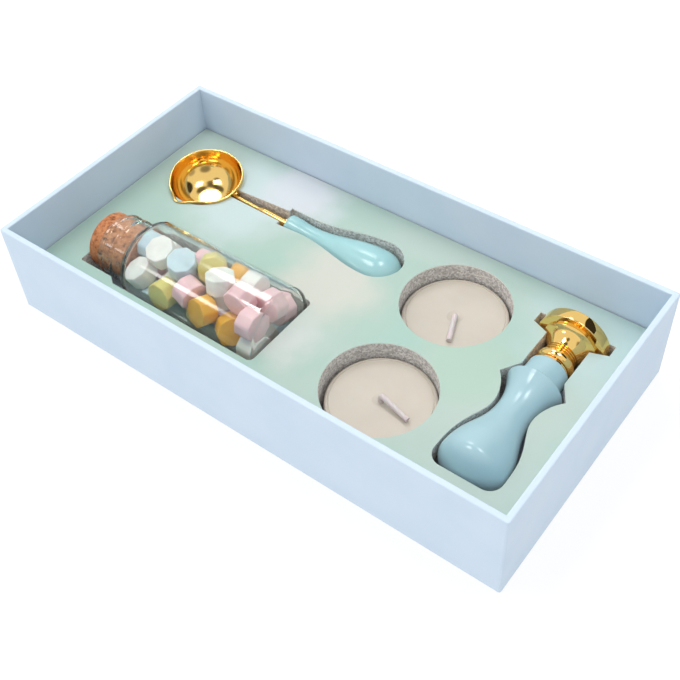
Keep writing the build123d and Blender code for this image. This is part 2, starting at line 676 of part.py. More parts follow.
# Stem: a rod from the riveted pad, thicker towards the grip, with a collar at the
# grip's face and a tang inside it
with BuildPart() as spoon_stem:
    with BuildSketch(stem_section):
        with BuildLine():
            Polyline(
                (BOWL_R, 0),
                (BOWL_R, STEM_R),
                (STEM_THICK_FROM - STEM_TAPER, STEM_R),
                (STEM_THICK_FROM, STEM_THICK_R),
                (GRIP_FROM - COLLAR_WIDTH, STEM_THICK_R),
                (GRIP_FROM - COLLAR_WIDTH, COLLAR_R),
                (GRIP_FROM, COLLAR_R),
                (GRIP_FROM, STEM_THICK_R),
                (GRIP_FROM + TANG_LENGTH, STEM_THICK_R),
                (GRIP_FROM + TANG_LENGTH, 0),
                close=True,
            )
        make_face()
    revolve(axis=stem_axis)
    with BuildSketch(rivet_plane):
        RectangleRounded(PAD_WIDTH, PAD_HEIGHT, PAD_WIDTH / 3)
    extrude(amount=RIVET_LENGTH)
    add(bowl_outside.part, mode=Mode.SUBTRACT)
    add(spoon_rivets.part, mode=Mode.SUBTRACT)
spoon_stem.part.label = "spoon_stem"
export_step(spoon_stem.part, "parts/spoon_stem.step")

with BuildPart() as spoon_handle:
    with BuildSketch(stem_section):
        with Locations((GRIP_FROM, 0)):
            add(grip_half.sketch)
    revolve(axis=stem_axis)
    add(spoon_stem.part, mode=Mode.SUBTRACT)
spoon_handle.part.label = "spoon_handle"
export_step(spoon_handle.part, "parts/spoon_handle.step")

# Stamp head: a thick engraving blank with a stepped, trumpet-shaped back, a ringed
# neck, a rounded collar and the stud that screws into the handle
HEAD_BACK_Y = HEAD_FACE_Y - HEAD_THICKNESS
CONE_TOP_Y = HEAD_BACK_Y - STEP_HEIGHT
CONE_END_Y = CONE_TOP_Y - CONE_LENGTH
THREAD_END_Y = CONE_END_Y - THREAD_RINGS * THREAD_PITCH
COLLAR_END_Y = THREAD_END_Y - 2 * COLLAR_HALF_WIDTH
HEAD_SEAT_Y = HANDLE_TOP_Y + FERRULE_THICKNESS + TURN_GAP

with BuildPart() as stamp_head:
    with BuildSketch(stamp_plane):
        with BuildLine():
            Polyline(
                (HEAD_FACE_Y, 0),
                (HEAD_FACE_Y, HEAD_R - HEAD_CHAMFER),
                (HEAD_FACE_Y - HEAD_CHAMFER, HEAD_R),
                (HEAD_BACK_Y + HEAD_CHAMFER, HEAD_R),
                (HEAD_BACK_Y, HEAD_R - HEAD_CHAMFER),
                (HEAD_BACK_Y, STEP_R),
                (CONE_TOP_Y, STEP_R),
            )
            Spline((CONE_TOP_Y, STEP_R), (CONE_END_Y, THREAD_ROOT_R), tangents=[(-0.3, -1), (-1, 0)])
            for ring in range(THREAD_RINGS):
                ring_y = CONE_END_Y - ring * THREAD_PITCH
                ThreePointArc(
                    (ring_y, THREAD_ROOT_R),
                    (ring_y - THREAD_PITCH / 2, THREAD_ROOT_R + THREAD_HEIGHT),
                    (ring_y - THREAD_PITCH, THREAD_ROOT_R),
                )
            Line((THREAD_END_Y, THREAD_ROOT_R), (THREAD_END_Y, STAMP_NECK_R))
            ThreePointArc(
                (THREAD_END_Y, STAMP_NECK_R),
                (THREAD_END_Y - COLLAR_HALF_WIDTH, STAMP_COLLAR_R),
                (COLLAR_END_Y, STAMP_NECK_R),
            )
            Polyline(
                (COLLAR_END_Y, STAMP_NECK_R),
                (HEAD_SEAT_Y, STAMP_NECK_R),
                (HEAD_SEAT_Y, STUD_R),
                (HEAD_SEAT_Y - STUD_LENGTH, STUD_R),
                (HEAD_SEAT_Y - STUD_LENGTH, 0),
                (HEAD_FACE_Y, 0),
            )
        make_face()
    revolve(axis=stamp_axis)
stamp_head.part.label = "stamp_head"
export_step(stamp_head.part, "parts/stamp_head.step")

# Brass ferrule on the handle's face and the threaded sleeve let into the wood behind it
with BuildPart() as stamp_ferrule:
    with BuildSketch(stamp_plane):
        with Locations((HANDLE_TOP_Y, STUD_R + STUD_FIT)):
            Rectangle(FERRULE_THICKNESS, FERRULE_R - STUD_R - STUD_FIT, align=Align.MIN)
    revolve(axis=stamp_axis)
    front_edges = stamp_ferrule.edges().filter_by(GeomType.CIRCLE).group_by(Axis.Y)[-1]
    fillet(front_edges.sort_by(SortBy.RADIUS)[-1], FERRULE_THICKNESS / 3)
stamp_ferrule.part.label = "stamp_ferrule"
export_step(stamp_ferrule.part, "parts/stamp_ferrule.step")

with BuildPart() as stamp_nut:
    with BuildSketch(stamp_plane):
        with Locations((HANDLE_TOP_Y, STUD_R + STUD_FIT)):
            Rectangle(NUT_LENGTH, NUT_R - STUD_R - STUD_FIT, align=(Align.MAX, Align.MIN))
    revolve(axis=stamp_axis)
stamp_nut.part.label = "stamp_nut"
export_step(stamp_nut.part, "parts/stamp_nut.step")

# Stamp handle: a plain end, a sharp-edged shoulder, a waist and a long bulb
with BuildPart() as stamp_handle:
    TOP_END_Y = HANDLE_TOP_Y - HANDLE_TOP_LENGTH
    NUT_END_Y = HANDLE_TOP_Y - NUT_LENGTH
    with BuildSketch(stamp_plane):
        with BuildLine():
            Polyline(
                (BULB_Y - BULB_END, 0),
                (NUT_END_Y, 0),
                (NUT_END_Y, NUT_R),
                (HANDLE_TOP_Y, NUT_R),
                (HANDLE_TOP_Y, HANDLE_TOP_R - HANDLE_TOP_EDGE),
            )
            RadiusArc(
                (HANDLE_TOP_Y, HANDLE_TOP_R - HANDLE_TOP_EDGE),
                (HANDLE_TOP_Y - HANDLE_TOP_EDGE, HANDLE_TOP_R),
                -HANDLE_TOP_EDGE,
            )
            Line((HANDLE_TOP_Y - HANDLE_TOP_EDGE, HANDLE_TOP_R), (TOP_END_Y, HANDLE_TOP_R))
            Spline((TOP_END_Y, HANDLE_TOP_R), (CREST_Y, CREST_R), tangents=[(-1, 0.2), (-1, 1)])
            Spline((CREST_Y, CREST_R), (WAIST_Y, WAIST_R), tangents=[(-1, -0.6), (-1, 0)])
            Spline((WAIST_Y, WAIST_R), (BULB_Y, BULB_R), tangents=[(-1, 0), (-1, 0)])
            Bezier(
                (BULB_Y, BULB_R),
                (BULB_Y - BULB_END * ROUNDING, BULB_R),
                (BULB_Y - BULB_END, BULB_R * ROUNDING),
                (BULB_Y - BULB_END, 0),
            )
        make_face()
    revolve(axis=stamp_axis)
stamp_handle.part.label = "stamp_handle"
export_step(stamp_handle.part, "parts/stamp_handle.step")
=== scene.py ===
import math

import bpy
import numpy as np
from mathutils import Matrix, Vector


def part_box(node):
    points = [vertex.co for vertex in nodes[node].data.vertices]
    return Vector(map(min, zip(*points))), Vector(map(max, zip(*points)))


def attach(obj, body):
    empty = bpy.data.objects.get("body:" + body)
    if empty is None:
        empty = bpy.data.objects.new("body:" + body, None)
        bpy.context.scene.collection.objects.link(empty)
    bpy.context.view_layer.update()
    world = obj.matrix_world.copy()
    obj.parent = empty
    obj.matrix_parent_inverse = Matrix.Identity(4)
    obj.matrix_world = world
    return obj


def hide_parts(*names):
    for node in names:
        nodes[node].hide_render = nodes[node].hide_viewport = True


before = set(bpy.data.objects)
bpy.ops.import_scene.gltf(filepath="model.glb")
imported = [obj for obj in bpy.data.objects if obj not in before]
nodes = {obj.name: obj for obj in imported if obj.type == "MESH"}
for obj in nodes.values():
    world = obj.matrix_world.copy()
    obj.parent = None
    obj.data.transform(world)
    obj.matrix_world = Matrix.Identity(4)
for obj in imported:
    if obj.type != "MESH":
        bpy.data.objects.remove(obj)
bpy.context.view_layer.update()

# ---------------------------------------------------------------------------------------
# Tray box. Four grey boards glued to a board floor, then wrapped in one sheet of pale blue
# uncoated paper that turns over the rim and lines the inside. A flat panel of the same
# paper hides the turned-in edges underneath.


def linear(code):
    """sRGB '#rrggbb' as linear colour: each channel over 255, then divided by 12.92 where it
    is below 0.04045, otherwise ((c + 0.055) / 1.055) to the power 2.4."""
    c = np.array([int(code[i : i + 2], 16) for i in (1, 3, 5)]) / 255
    return (*np.where(c <= 0.04045, c / 12.92, ((c + 0.055) / 1.055) ** 2.4), 1.0)


def add(finish, kind, inputs=None, **settings):
    """Adds one node to a material. An input is a number, a colour or another node's output."""
    node = finish.node_tree.nodes.new("ShaderNode" + kind)
    for name, value in settings.items():
        setattr(node, name, value)
    for name, value in (inputs or {}).items():
        if isinstance(value, bpy.types.NodeSocket):
            finish.node_tree.links.new(value, node.inputs[name])
        else:
            node.inputs[name].default_value = value
    return node


def new_finish(name):
    """An empty material, ready for its nodes."""
    finish = bpy.data.materials.new(name)
    finish.use_nodes = True
    finish.node_tree.nodes.clear()
    return finish


def coat(finish, *names):
    """Gives CAD nodes a finish."""
    for name in names:
        for place in nodes[name].material_slots:
            place.material = finish


MM = 0.001
PER_MM = 1 / MM

# Greyboard: pressed waste paper, dull grey-brown and mottled by its fibres and specks
greyboard = new_finish("greyboard")
where = add(greyboard, "TexCoord").outputs["Object"]
fibre = add(greyboard, "TexNoise", {"Vector": where, "Scale": 0.8 * PER_MM, "Detail": 4.0})
tone = add(greyboard, "ValToRGB", {"Fac": fibre.outputs["Fac"]})
tone.color_ramp.elements[0].color = linear("#9d968b")
tone.color_ramp.elements[1].color = linear("#c4bdb1")
body = add(greyboard, "BsdfPrincipled", {"Base Color": tone.outputs["Color"], "Roughness": 0.9})
add(greyboard, "OutputMaterial", {"Surface": body.outputs[0]})
coat(greyboard, "floor_board", "front_wall", "back_wall", "left_wall", "right_wall")

# Wrapping paper: uncoated dyed paper, even pale blue, matt, with a fine felt grain that
# gives a barely mottled tone
paper = new_finish("uncoated_blue_paper")
where = add(paper, "TexCoord").outputs["Object"]
mottle = add(paper, "TexNoise", {"Vector": where, "Scale": 0.06 * PER_MM, "Detail": 3.0})
tone = add(paper, "ValToRGB", {"Fac": mottle.outputs["Fac"]})
tone.color_ramp.elements[0].position = 0.3
tone.color_ramp.elements[0].color = linear("#c5d7e9")
tone.color_ramp.elements[1].position = 0.7
tone.color_ramp.elements[1].color = linear("#cbdbeb")
felt = add(paper, "TexNoise", {"Vector": where, "Scale": 2.5 * PER_MM, "Detail": 3.0})
grain = add(paper, "Bump", {"Height": felt.outputs["Fac"], "Strength": 0.25, "Distance": 0.05 * MM})
body = add(
    paper,
    "BsdfPrincipled",
    {"Base Color": tone.outputs["Color"], "Roughness": 0.62, "Normal": grain.outputs[0]},
)
add(paper, "OutputMaterial", {"Surface": body.outputs[0]})
coat(paper, "wrap_paper", "base_sheet", "floor_lining")

# ---------------------------------------------------------------------------------------
# Insert. A slab of closed-cell foam with a printed card on top, both die-cut together so
# that each thing lies in its own pocket. It lies loose on the floor of the box.

# Regrind foam: grey-brown, with light and dark crumbs a little over half a millimetre across
foam = new_finish("crumb_foam")
where = add(foam, "TexCoord").outputs["Object"]
crumbs = add(foam, "TexVoronoi", {"Vector": where, "Scale": 1.6 * PER_MM, "Randomness": 1.0})
shade = add(foam, "SeparateColor", {"Color": crumbs.outputs["Color"]})
tone = add(foam, "ValToRGB", {"Fac": shade.outputs[0]})
tone.color_ramp.elements[0].color = linear("#aaa5a2")
tone.color_ramp.elements[1].color = linear("#e9e6e2")
tone.color_ramp.elements.new(0.5).color = linear("#ccc7c3")
pores = add(foam, "Bump", {"Height": crumbs.outputs["Distance"], "Strength": 0.5, "Distance": 0.3 * MM})
body = add(
    foam,
    "BsdfPrincipled",
    {"Base Color": tone.outputs["Color"], "Roughness": 0.85, "Normal": pores.outputs[0]},
)
add(foam, "OutputMaterial", {"Surface": body.outputs[0]})
coat(foam, "insert_foam")

# Printed card: white-cored board with a soft watercolour wash in mint under a matt varnish.
# The cut edge shows the white core as a fine light line. Paler, greener and bluer clouds lie
# in the wash, each given as (x, y, radius, colour) in millimetres: its core is even, it
# fades out to its radius, and noise lets its outline wander.
CARD_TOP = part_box("insert_card")[1][2]
WANDER = 20 * MM
CLOUD_CORE = 0.35
CLOUD_STRENGTH = 0.9
CLOUDS = (
    (-4, 8, 26, "#c8c9bf"),
    (-2, -22, 20, "#c9cdc9"),
    (56, 4, 22, "#a8c2b2"),
    (-60, 25, 34, "#bfd1d1"),
    (-42, 40, 24, "#ccd0d6"),
    (84, 36, 30, "#b4cac9"),
)
wash = new_finish("wash_printed_card")
where = add(wash, "TexCoord").outputs["Object"]
cloud = add(wash, "TexNoise", {"Vector": where, "Scale": 0.018 * PER_MM, "Detail": 3.0, "Distortion": 0.4})
tone = add(wash, "ValToRGB", {"Fac": cloud.outputs["Fac"]})
tone.color_ramp.elements[0].position = 0.36
tone.color_ramp.elements[0].color = linear("#a2c0b5")
tone.color_ramp.elements[1].position = 0.66
tone.color_ramp.elements[1].color = linear("#b1c2b9")
tone.color_ramp.elements.new(0.5).color = linear("#a6bfb4")
bleed = add(wash, "TexNoise", {"Vector": where, "Scale": 0.06 * PER_MM, "Detail": 4.0})
spread = add(
    wash,
    "VectorMath",
    {0: bleed.outputs["Color"], 1: (WANDER, WANDER, 0.0)},
    operation="MULTIPLY",
)
wandering = add(wash, "VectorMath", {0: where, 1: spread.outputs[0]}, operation="ADD")
printed = tone.outputs["Color"]
for x, y, radius, code in CLOUDS:
    # The noise averages a half, which shifts the whole wash by half of what it may wander
    middle = (x * MM + WANDER / 2, y * MM + WANDER / 2, CARD_TOP)
    away = add(wash, "VectorMath", {0: wandering.outputs[0], 1: middle}, operation="DISTANCE")
    share = add(
        wash,
        "MapRange",
        {
            "Value": away.outputs["Value"],
            "From Min": radius * CLOUD_CORE * MM,
            "From Max": radius * MM,
            "To Min": CLOUD_STRENGTH,
            "To Max": 0.0,
        },
        interpolation_type="SMOOTHSTEP",
    )
    layers = {0: share.outputs[0], 6: printed, 7: linear(code)}
    printed = add(wash, "Mix", layers, data_type="RGBA").outputs[2]
up = add(wash, "SeparateXYZ", {"Vector": add(wash, "NewGeometry").outputs["Normal"]})
top = add(wash, "Math", {0: up.outputs["Z"], 1: 0.5}, operation="GREATER_THAN")
face = add(wash, "Mix", {0: top.outputs[0], 6: linear("#f1efe8"), 7: printed}, data_type="RGBA")
body = add(wash, "BsdfPrincipled", {"Base Color": face.outputs[2], "Roughness": 0.55})
add(wash, "OutputMaterial", {"Surface": body.outputs[0]})
coat(wash, "insert_card")

# ---------------------------------------------------------------------------------------
# Bottle. Blown clear soda-lime glass with a pushed-up foot and a ringed neck. It lies on
# its side in the insert and is loosely filled with pressed wax tablets.

BODY_R = 16.0 * MM
CAVITY_R = 14.6 * MM
BODY_LENGTH = 60.6 * MM
SHOULDER_LENGTH = 6.0 * MM
NECK_R = 11.6 * MM
BORE_R = 10.5 * MM
HEEL_R = 2.2 * MM
FOOT_R = 13.0 * MM
PUNT_DEPTH = 0.5 * MM
BASE_THICKNESS = 1.8 * MM
INNER_HEEL_R = 1.2 * MM
RING_WIDTH = 1.6 * MM
RING_HEIGHT = 0.8 * MM
RING_STARTS = (70.6 * MM, 75.6 * MM)
RING_FULLNESS = 0.7

# The foot's middle and the length come from the CAD bottle, which lies along x
glass_low, glass_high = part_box("bottle_glass")
BOTTLE_AXIS = (glass_high[0], (glass_low[1] + glass_high[1]) / 2, glass_low[2] + BODY_R)
BOTTLE_LENGTH = glass_high[0] - glass_low[0]

# How finely the turned forms are divided, and the innermost rings of their closed ends as
# shares of the end's radius
ROUND_STEPS = 160
CURVE_STEPS = 24
HEEL_STEPS = 10
INNER_HEEL_STEPS = 8
PUNT_RINGS = 12
FIRST_RING = 0.1
FLAT_END_RING = 0.05


def close_ends(grid, first, last):
    """A closed surface from a grid of points, its rows along the form and its columns round
    it. Each row joins the next, each row's last point joins its first, and one more point
    closes either end. Returns the points, the four-sided faces and the end triangles."""
    rows, columns = grid.shape[:2]
    at = np.arange(rows * columns).reshape(rows, columns)
    beside = np.roll(at, -1, axis=1)
    four = np.stack([at[:-1], beside[:-1], beside[1:], at[1:]], axis=-1).reshape(-1, 4)
    head = np.stack([beside[0], at[0], np.full(columns, rows * columns)], axis=-1)
    tail = np.stack([at[-1], beside[-1], np.full(columns, rows * columns + 1)], axis=-1)
    return np.vstack([grid.reshape(-1, 3), first, last]), four, np.vstack([head, tail])


def make_piece(name, points, four, three, finish, crease=35.0):
    """A smooth-shaded mesh object, creased where faces meet at more than crease degrees. A
    closed form's volume is the sum over its faces of p0 . (p1 x p2) / 6, which is positive
    when the faces point outwards, so they are turned round where it comes out negative."""
    fans = np.vstack([three, four[:, :3], four[:, [0, 2, 3]]])
    a, b, c = (points[fans[:, k]] for k in range(3))
    if np.einsum("ij,ij->i", a, np.cross(b, c)).sum() < 0:
        four, three = four[:, ::-1], three[:, ::-1]
    mesh = bpy.data.meshes.new(name)
    mesh.from_pydata(points.tolist(), [], four.tolist() + three.tolist())
    mesh.polygons.foreach_set("use_smooth", np.ones(len(mesh.polygons), dtype=bool))
    mesh.set_sharp_from_angle(angle=math.radians(crease))
    mesh.materials.append(finish)
    piece = bpy.data.objects.new(name, mesh)
    bpy.context.scene.collection.objects.link(piece)
    return piece


def arc(centre, radius, start, stop, steps):
    """Points on a circle about centre, from angle start to stop in degrees."""
    turn = np.radians(np.linspace(start, stop, steps))
    return np.stack([centre[0] + radius * np.cos(turn), centre[1] + radius * np.sin(turn)], axis=-1)


def turned_bottle():
    """The bottle's section, as (distance from the foot, radius), spun about its axis. The
    foot is pushed up by its depth times (1 - (radius / foot's radius) ** 2) ** 2. The
    shoulder is half a cosine wave from the body's radius to the neck's, and each ring on the
    neck is half a sine wave to the power of its fullness. Arcs round the heels and lip."""
    rise = np.linspace(0, 1, CURVE_STEPS)[1:]
    wave = (1 - np.cos(np.pi * rise)) / 2
    inner = BODY_LENGTH - (BODY_R - CAVITY_R) / 2
    punt = np.linspace(FIRST_RING, 1, PUNT_RINGS) * FOOT_R
    rows = [np.stack([PUNT_DEPTH * (1 - (punt / FOOT_R) ** 2) ** 2, punt], axis=-1)]
    rows.append(arc((HEEL_R, BODY_R - HEEL_R), HEEL_R, 180, 90, HEEL_STEPS))
    rows.append([(BODY_LENGTH / 2, BODY_R), (BODY_LENGTH, BODY_R)])
    shoulder = BODY_R - (BODY_R - NECK_R) * wave
    rows.append(np.stack([BODY_LENGTH + SHOULDER_LENGTH * rise, shoulder], axis=-1))
    bump = np.sin(np.pi * rise) ** RING_FULLNESS
    for ring_start in RING_STARTS:
        rows.append([(ring_start, NECK_R)])
        rows.append(np.stack([ring_start + RING_WIDTH * rise, NECK_R + RING_HEIGHT * bump], axis=-1))
    lip = (NECK_R - BORE_R) / 2
    rows.append(arc((BOTTLE_LENGTH - lip, NECK_R - lip), lip, 80, -90, HEEL_STEPS))
    rows.append([(BODY_LENGTH + SHOULDER_LENGTH, BORE_R)])
    inner_shoulder = CAVITY_R - (CAVITY_R - BORE_R) * (1 - wave)
    rows.append(np.stack([inner + SHOULDER_LENGTH * (1 - rise), inner_shoulder], axis=-1))
    rows.append([(BODY_LENGTH / 2, CAVITY_R)])
    heel = (BASE_THICKNESS + INNER_HEEL_R, CAVITY_R - INNER_HEEL_R)
    rows.append(arc(heel, INNER_HEEL_R, 90, 180, INNER_HEEL_STEPS))
    rows.append([(BASE_THICKNESS, CAVITY_R / 2), (BASE_THICKNESS, CAVITY_R * FLAT_END_RING)])
    section = np.vstack(rows)
    turn = np.linspace(0, 2 * np.pi, ROUND_STEPS, endpoint=False)
    along = np.repeat(BOTTLE_AXIS[0] - section[:, :1], ROUND_STEPS, axis=1)
    across = BOTTLE_AXIS[1] + section[:, 1:] * np.cos(turn)
    up = BOTTLE_AXIS[2] + section[:, 1:] * np.sin(turn)
    foot = (BOTTLE_AXIS[0] - PUNT_DEPTH, *BOTTLE_AXIS[1:])
    floor = (BOTTLE_AXIS[0] - BASE_THICKNESS, *BOTTLE_AXIS[1:])
    return close_ends(np.stack([along, across, up], axis=-1), foot, floor)


# Soda-lime glass, fire-polished: clear and sharply reflecting, with slow ripples from the
# mould. Where the wall is seen at a slant it turns greyer: partly the longer way the light
# goes through the glass, partly painted shade for the dark edges that bending would give. A
# wall this thin hardly bends what lies behind it, so the bending is eased to an IOR of 1.2,
# and a clear coat with glass's own 1.5 carries the reflections. Lamps and soft light reach the
# wax straight through it.
glass = new_finish("clear_bottle_glass")
where = add(glass, "TexCoord").outputs["Object"]
ripple = add(glass, "TexNoise", {"Vector": where, "Scale": 0.12 * PER_MM, "Detail": 1.0})
waves = add(glass, "Bump", {"Height": ripple.outputs["Fac"], "Strength": 0.05, "Distance": 0.5 * MM})
# Partly painted shade: the wall's colour greys towards its outline, where it is seen at a slant
slant = add(glass, "LayerWeight", {"Blend": 0.5})
depth = add(glass, "ValToRGB", {"Fac": slant.outputs["Facing"]})
depth.color_ramp.elements[0].position = 0.5
depth.color_ramp.elements[0].color = linear("#ffffff")
depth.color_ramp.elements[1].color = linear("#7c8480")
depth.color_ramp.elements.new(0.84).color = linear("#c8cfcb")
body = add(
    glass,
    "BsdfPrincipled",
    {
        "Base Color": depth.outputs["Color"],
        "Roughness": 0.0,
        "IOR": 1.2,
        "Coat Weight": 1.0,
        "Coat IOR": 1.5,
        "Coat Roughness": 0.0,
        "Coat Tint": linear("#fbfdfc"),
        "Transmission Weight": 1.0,
        "Normal": waves.outputs[0],
    },
)
path = add(glass, "LightPath")
soft = add(
    glass,
    "Math",
    {0: path.outputs["Is Shadow Ray"], 1: path.outputs["Is Diffuse Ray"]},
    operation="MAXIMUM",
)
clear = add(glass, "BsdfTransparent", {"Color": linear("#f6faf8")})
mixed = add(glass, "MixShader", {0: soft.outputs[0], 1: body.outputs[0], 2: clear.outputs[0]})
add(glass, "OutputMaterial", {"Surface": mixed.outputs[0]})
bottle_shell = make_piece("bottle_shell", *turned_bottle(), glass)
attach(bottle_shell, "bottle")
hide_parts("bottle_glass")

# Tablets: pressed sealing wax, eight-sided with eased corners and edges. Each row is a
# tablet's middle in millimetres and how it lies in degrees: spun about its own axis, then
# tipped from upright, then swung about the vertical. The rows are rounded from a simulation
# in which the tablets fell and settled in the bottle.
TABLET_FLATS = 10.1 * MM
TABLET_THICKNESS = 6.45 * MM
TABLET_EDGE = 0.5 * MM
TABLET_STEPS = 48
SIDES = 8
CORNER_POWER = 36
EDGE_STEPS = 5
FACE_INSET = 0.45 * TABLET_FLATS
TABLETS = {
    "blue": (
        "#c4d4df",
        [
            (-64.7, -18.9, 24.5, 31, 90, 0),
            (-45.6, -22.7, 28.5, 4, 12, -52),
            (-56.3, -28.6, 13.1, 45, 108, -90),
            (-24.1, -14.2, 12.2, 26, 87, 3),
        ],
    ),
    "white": (
        "#efe9e6",
        [
            (-62.9, -13.9, 17.6, 0, 32, -90),
            (-56.3, -22.0, 28.1, 45, 20, -90),
            (-53.2, -12.3, 15.7, 31, 88, 1),
            (-29.2, -21.2, 28.0, 16, 13, 119),
            (-20.1, -14.3, 25.0, 7, 89, -1),
            (-61.6, -29.0, 21.0, 8, 26, -135),
            (-50.0, -22.3, 19.4, 45, 61, 174),
            (-29.6, -21.1, 20.5, 38, 19, 130),
            (-9.7, -29.0, 14.3, 38, 90, 0),
            (-15.1, -18.9, 9.6, 45, 76, 84),
        ],
    ),
    "yellow": (
        "#e4d27c",
        [
            (-37.4, -16.3, 26.1, 4, 65, -49),
            (-48.2, -31.1, 20.1, 5, 98, 88),
            (-44.8, -23.3, 15.5, 9, 61, 174),
            (-36.9, -25.4, 12.8, 12, 63, -80),
            (-43.2, -14.8, 10.2, 35, 145, 89),
        ],
    ),
    "orange": (
        "#efae26",
        [
            (-28.5, -11.3, 22.6, 4, 114, -88),
            (-30.1, -30.5, 21.2, 1, 74, -104),
            (-18.8, -29.2, 17.7, 16, 68, -34),
            (-32.5, -16.4, 9.1, 0, 25, -90),
        ],
    ),
    "pink": (
        "#f5c6cd",
        [
            (-12.3, -11.0, 16.4, 6, 73, -92),
            (-11.6, -16.0, 22.8, 1, 73, -92),
            (-64.7, -22.9, 12.8, 32, 90, 0),
            (-38.5, -28.1, 23.8, 33, 100, -11),
            (-18.5, -23.0, 27.0, 45, 87, 90),
            (-25.2, -24.1, 15.0, 12, 23, 126),
            (-10.1, -27.8, 24.4, 38, 90, 0),
            (-55.9, -20.8, 11.1, 29, 84, 90),
            (-45.1, -12.0, 20.8, 2, 85, -2),
        ],
    ),
}


def tablet():
    """One tablet about its own axis. Its outline is the smooth union of its flats: with p
    the corners' power, the radius is half the width over the p-th root of the sum of
    |cos(angle from each flat)| ** p. Its edge is a quarter circle from face to side."""
    turn = np.linspace(0, 2 * np.pi, TABLET_STEPS, endpoint=False)
    flats = turn[:, None] - np.pi * np.arange(SIDES // 2) / (SIDES // 2)
    together = (np.abs(np.cos(flats)) ** CORNER_POWER).sum(axis=1)
    outline = TABLET_FLATS / 2 / together ** (1 / CORNER_POWER)
    half = TABLET_THICKNESS / 2
    edge = arc((-TABLET_EDGE, half - TABLET_EDGE), TABLET_EDGE, 90, 0, EDGE_STEPS)
    inset = np.concatenate([[-FACE_INSET], edge[:, 0], edge[::-1, 0], [-FACE_INSET]])
    height = np.concatenate([[half], edge[:, 1], -edge[::-1, 1], [-half]])
    reach = outline + inset[:, None]
    height = np.repeat(height[:, None], TABLET_STEPS, axis=1)
    grid = np.stack([reach * np.cos(turn), reach * np.sin(turn), height], axis=-1)
    return close_ends(grid, (0, 0, half), (0, 0, -half))


def laid_tablets(rows):
    """A tablet at each row's place: each point p becomes Rz(swing) Ry(tip) Rz(spin) p plus
    the row's middle, for all the rows at once."""
    points, four, three = tablet()
    rows = np.array(rows, dtype=float)
    spin, tip, swing = np.radians(rows[:, 3:]).T
    middles = rows[:, :3] * MM

    def about_z(turn):
        still, full = np.zeros_like(turn), np.ones_like(turn)
        c, s = np.cos(turn), np.sin(turn)
        return np.stack([c, -s, still, s, c, still, still, still, full], axis=-1).reshape(-1, 3, 3)

    still, full = np.zeros_like(tip), np.ones_like(tip)
    c, s = np.cos(tip), np.sin(tip)
    about_y = np.stack([c, still, s, still, full, still, -s, still, c], axis=-1).reshape(-1, 3, 3)
    turns = about_z(swing) @ about_y @ about_z(spin)
    placed = np.einsum("nij,pj->npi", turns, points) + middles[:, None]
    step = len(points) * np.arange(len(rows))[:, None, None]
    return placed.reshape(-1, 3), (four + step).reshape(-1, 4), (three + step).reshape(-1, 3)


# How much deeper and paler than its own colour the wax gets in its clouds
DEEPER = 0.93
PALER = 1.06

for colour_name, (code, rows) in TABLETS.items():
    # Sealing wax: soft satin, light sinks in a little, with faintly cloudy colour and the
    # small dimples of its pressing
    wax_tablet = new_finish("pressed_wax_" + colour_name)
    where = add(wax_tablet, "TexCoord").outputs["Object"]
    cloud = add(wax_tablet, "TexNoise", {"Vector": where, "Scale": 0.25 * PER_MM, "Detail": 3.0})
    tone = add(wax_tablet, "ValToRGB", {"Fac": cloud.outputs["Fac"]})
    own = np.array(linear(code))
    tone.color_ramp.elements[0].position = 0.3
    tone.color_ramp.elements[0].color = (*(own[:3] * DEEPER), 1.0)
    tone.color_ramp.elements[1].position = 0.7
    tone.color_ramp.elements[1].color = (*np.minimum(own[:3] * PALER, 1.0), 1.0)
    dimple = add(wax_tablet, "TexNoise", {"Vector": where, "Scale": 0.9 * PER_MM, "Detail": 2.0})
    uneven = add(
        wax_tablet,
        "Bump",
        {"Height": dimple.outputs["Fac"], "Strength": 0.15, "Distance": 0.2 * MM},
    )
    body = add(
        wax_tablet,
        "BsdfPrincipled",
        {
            "Base Color": tone.outputs["Color"],
            "Roughness": 0.42,
            "Subsurface Weight": 0.3,
            "Subsurface Scale": 1.5 * MM,
            "Normal": uneven.outputs[0],
        },
    )
    add(wax_tablet, "OutputMaterial", {"Surface": body.outputs[0]})
    tablets = make_piece("tablets_" + colour_name, *laid_tablets(rows), wax_tablet, crease=30.0)
    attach(tablets, "bottle")
    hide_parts("beads_" + colour_name)

# ---------------------------------------------------------------------------------------
# Stopper. A plug punched out of natural cork bark, with eased edges. It is pushed into the
# bottle's neck by hand, spreads a little where it stands out of it, and can be turned there.

# Cork bark: warm red-brown, rough and dry, with dark pits a millimetre or two across and
# paler patches between them
cork = new_finish("natural_cork")
where = add(cork, "TexCoord").outputs["Object"]
pits = add(cork, "TexNoise", {"Vector": where, "Scale": 0.5 * PER_MM, "Detail": 5.0, "Roughness": 0.7})
tone = add(cork, "ValToRGB", {"Fac": pits.outputs["Fac"]})
tone.color_ramp.elements[0].position = 0.36
tone.color_ramp.elements[0].color = linear("#4c2814")
tone.color_ramp.elements[1].position = 0.62
tone.color_ramp.elements[1].color = linear("#cf8e60")
tone.color_ramp.elements.new(0.44).color = linear("#b46c40")
rough = add(cork, "Bump", {"Height": pits.outputs["Fac"], "Strength": 0.7, "Distance": 0.4 * MM})
body = add(
    cork,
    "BsdfPrincipled",
    {"Base Color": tone.outputs["Color"], "Roughness": 0.8, "Normal": rough.outputs[0]},
)
add(cork, "OutputMaterial", {"Surface": body.outputs[0]})
coat(cork, "cork")

# ---------------------------------------------------------------------------------------
# Tealights. Poured cream wax round a waxed cotton wick that stands in a small tin
# sustainer, and lies over to one side.

